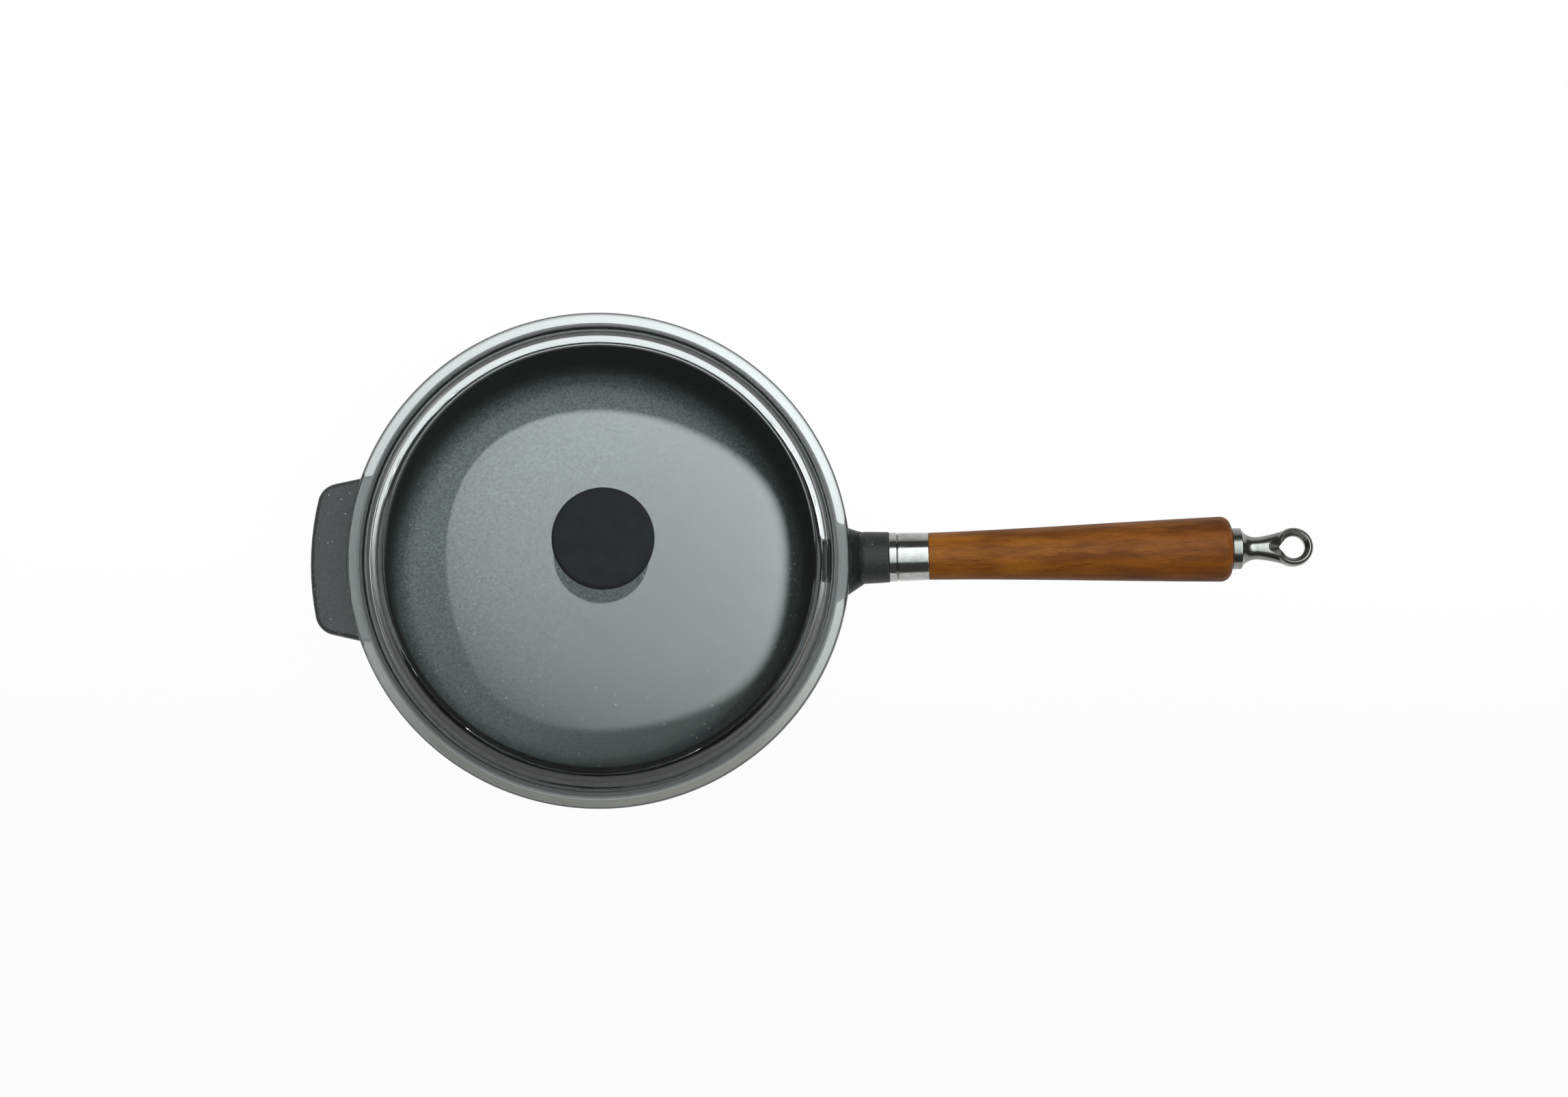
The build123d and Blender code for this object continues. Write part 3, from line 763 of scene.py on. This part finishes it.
class SAUTE_OT_stage(Operator):
    """White floor, studio light and the camera"""
    bl_idname = "saute.stage"
    bl_label = "Stage"

    def execute(self, context):
        settings = context.scene.saute_stage
        self.floor(settings)
        self.world(context, settings)
        self.softbox(context, settings)
        self.camera(context, settings)
        context.scene.view_settings.view_transform = "Standard"
        return {"FINISHED"}

    def floor(self, settings):
        """A pale floor, white to the camera and to metal, that keeps the object's shadow; in front
        of the pan it is darker, a painted shadow seen through the glass.
        """
        material = bpy.data.materials.new("white_floor")
        material.use_nodes = True
        tree = material.node_tree
        tree.nodes.clear()
        link = tree.links.new
        matt = put(tree, "ShaderNodeBsdfDiffuse")
        where = put(tree, "ShaderNodeTexCoord")
        parts = put(tree, "ShaderNodeSeparateXYZ")
        link(where.outputs["Object"], parts.inputs["Vector"])
        # Painted shadow: the floor in front of the pan is darker, standing in for the pan's shadow
        # seen through the glass
        back = spread(
            tree, parts.outputs["Y"], 0.0, 1.0, settings.painted_shadow_end, settings.back_start)
        shade = blend(tree, back, settings.painted_shadow_colour, settings.floor_colour)
        link(shade, matt.inputs["Color"])
        glow = put(tree, "ShaderNodeEmission", {"Strength": 1.0})
        path = put(tree, "ShaderNodeLightPath")
        looked = put(tree, "ShaderNodeMath", operation="MAXIMUM")
        link(path.outputs["Is Camera Ray"], looked.inputs[0])
        link(path.outputs["Is Glossy Ray"], looked.inputs[1])
        in_glass = spread(tree, back, 0.0, settings.white_share_in_glass)
        through = put(tree, "ShaderNodeMix", {"A": settings.white_share}, data_type="FLOAT")
        link(path.outputs["Is Transmission Ray"], through.inputs["Factor"])
        link(in_glass, through.inputs["B"])
        part = put(tree, "ShaderNodeMath", operation="MULTIPLY")
        link(looked.outputs["Value"], part.inputs[0])
        link(through.outputs["Result"], part.inputs[1])
        mix = put(tree, "ShaderNodeMixShader")
        link(part.outputs["Value"], mix.inputs["Fac"])
        link(matt.outputs["BSDF"], mix.inputs[1])
        link(glow.outputs["Emission"], mix.inputs[2])
        output = put(tree, "ShaderNodeOutputMaterial")
        link(mix.outputs["Shader"], output.inputs["Surface"])
        shape = bmesh.new()
        bmesh.ops.create_grid(
            shape, x_segments=1, y_segments=1, size=settings.floor_size / 2)
        piece("floor", shape, material)

    def world(self, context, settings):
        """White to the camera; a dim room with a bright far wall to glass and metal."""
        world = bpy.data.worlds.new("studio")
        world.use_nodes = True
        tree = world.node_tree
        tree.nodes.clear()
        link = tree.links.new
        where = put(tree, "ShaderNodeTexCoord")
        parts = put(tree, "ShaderNodeSeparateXYZ")
        link(where.outputs["Generated"], parts.inputs["Vector"])
        towards = put(tree, "ShaderNodeVectorMath", operation="DOT_PRODUCT")
        towards.inputs[1].default_value = (
            math.cos(settings.wall_azimuth), math.sin(settings.wall_azimuth), 0.0)
        link(where.outputs["Generated"], towards.inputs[0])
        wall_edge = (0.40, 0.55)
        wall_top = (0.20, 0.32)
        wall = spread(
            tree, towards.outputs["Value"], settings.room, settings.wall, *wall_edge)
        above = spread(tree, parts.outputs["Z"], 0.0, 1.0, *wall_top)
        room = put(tree, "ShaderNodeMix", {"B": settings.room}, data_type="FLOAT")
        link(above, room.inputs["Factor"])
        link(wall, room.inputs["A"])
        path = put(tree, "ShaderNodeLightPath")
        fill = put(tree, "ShaderNodeMix", {"A": settings.fill}, data_type="FLOAT")
        link(path.outputs["Is Glossy Ray"], fill.inputs["Factor"])
        link(room.outputs["Result"], fill.inputs["B"])
        seen = put(tree, "ShaderNodeMix", {"B": 1.0}, data_type="FLOAT")
        link(path.outputs["Is Camera Ray"], seen.inputs["Factor"])
        link(fill.outputs["Result"], seen.inputs["A"])
        light = put(tree, "ShaderNodeBackground", {"Color": (1.0, 1.0, 1.0, 1.0)})
        link(seen.outputs["Result"], light.inputs["Strength"])
        output = put(tree, "ShaderNodeOutputWorld")
        link(light.outputs["Background"], output.inputs["Surface"])
        context.scene.world = world

    def softbox(self, context, settings):
        """One large soft lamp over the pan, brighter to the right and back."""
        lamp = bpy.data.lights.new("softbox", "AREA")
        lamp.shape = "RECTANGLE"
        lamp.size = settings.softbox_width
        lamp.size_y = settings.softbox_depth
        lamp.energy = settings.softbox_power
        lamp.color = settings.softbox_colour
        lamp.use_nodes = True
        tree = lamp.node_tree
        link = tree.links.new
        glow = next(node for node in tree.nodes if node.type == "EMISSION")
        spot = put(tree, "ShaderNodeNewGeometry")
        middle = put(tree, "ShaderNodeVectorMath", operation="SUBTRACT")
        middle.inputs[1].default_value = settings.softbox_place
        link(spot.outputs["Position"], middle.inputs[0])
        scaled = put(tree, "ShaderNodeVectorMath", operation="MULTIPLY")
        scaled.inputs[1].default_value = (
            2 / settings.softbox_width, 2 / settings.softbox_depth, 0.0)
        link(middle.outputs["Vector"], scaled.inputs[0])
        parts = put(tree, "ShaderNodeSeparateXYZ")
        link(scaled.outputs["Vector"], parts.inputs["Vector"])
        squareness = 4.0
        fade_left, fade_right = 0.94, 0.05
        powers = []
        for axis in ("X", "Y"):
            power = put(tree, "ShaderNodeMath", operation="POWER")
            power.inputs[1].default_value = squareness
            link(parts.outputs[axis], power.inputs[0])
            powers.append(power.outputs["Value"])
        reach = put(tree, "ShaderNodeMath", operation="ADD")
        for power, socket in zip(powers, reach.inputs):
            link(power, socket)
        start = spread(tree, parts.outputs["X"], fade_left, fade_right, -1.0, 1.0)
        mask = put(tree, "ShaderNodeMapRange", {
            "From Max": 1.0, "To Min": 1.0, "To Max": 0.0}, interpolation_type="SMOOTHSTEP")
        link(reach.outputs["Value"], mask.inputs["Value"])
        link(start, mask.inputs["From Min"])
        slope = put(tree, "ShaderNodeVectorMath", operation="DOT_PRODUCT")
        slope.inputs[1].default_value = settings.softbox_slope
        link(scaled.outputs["Vector"], slope.inputs[0])
        level = put(tree, "ShaderNodeMath", operation="ADD")
        level.inputs[1].default_value = 1.0
        link(slope.outputs["Value"], level.inputs[0])
        strength = put(tree, "ShaderNodeMath", operation="MULTIPLY")
        link(level.outputs["Value"], strength.inputs[0])
        link(mask.outputs["Result"], strength.inputs[1])
        link(strength.outputs["Value"], glow.inputs["Strength"])
        box = bpy.data.objects.new("softbox", lamp)
        box.location = settings.softbox_place
        box.visible_camera = False
        context.scene.collection.objects.link(box)

    def camera(self, context, settings):
        """The photograph's view."""
        data = bpy.data.cameras.new("camera")
        data.sensor_width = settings.sensor
        data.lens = settings.lens
        data.clip_start = 0.01
        view = bpy.data.objects.new("camera", data)
        view.location = settings.camera_place
        view.rotation_euler = settings.camera_turn
        context.scene.collection.objects.link(view)
        context.scene.camera = view


class SAUTE_PT_panel(Panel):
    """Buttons and values for the saute pan"""
    bl_idname = "SAUTE_PT_panel"
    bl_label = "Saute pan"
    bl_space_type = "VIEW_3D"
    bl_region_type = "UI"
    bl_category = "Saute pan"

    def draw(self, context):
        for operator in OPERATORS:
            self.layout.operator(operator.bl_idname)
        for name in SETTINGS:
            box = self.layout.box()
            group = getattr(context.scene, name)
            for prop in group.bl_rna.properties:
                if prop.identifier not in ("rna_type", "name"):
                    box.prop(group, prop.identifier)


OPERATORS = (
    SAUTE_OT_pan, SAUTE_OT_lid, SAUTE_OT_knob, SAUTE_OT_handle, SAUTE_OT_fastenings,
    SAUTE_OT_stage)
SETTINGS = {
    "saute_lid": LidSizes, "saute_finishes": Finishes, "saute_stage": StageSettings}


def register():
    for group in SETTINGS.values():
        bpy.utils.register_class(group)
    for name, group in SETTINGS.items():
        setattr(bpy.types.Scene, name, PointerProperty(type=group))
    for operator in OPERATORS:
        bpy.utils.register_class(operator)
    bpy.utils.register_class(SAUTE_PT_panel)


def unregister():
    bpy.utils.unregister_class(SAUTE_PT_panel)
    for operator in reversed(OPERATORS):
        bpy.utils.unregister_class(operator)
    for name, group in reversed(SETTINGS.items()):
        delattr(bpy.types.Scene, name)
        bpy.utils.unregister_class(group)


def main():
    register()
    bpy.ops.saute.pan()
    bpy.ops.saute.lid()
    bpy.ops.saute.knob()
    bpy.ops.saute.handle()
    bpy.ops.saute.fastenings()
    bpy.ops.saute.stage()


if __name__ == "__main__":
    main()
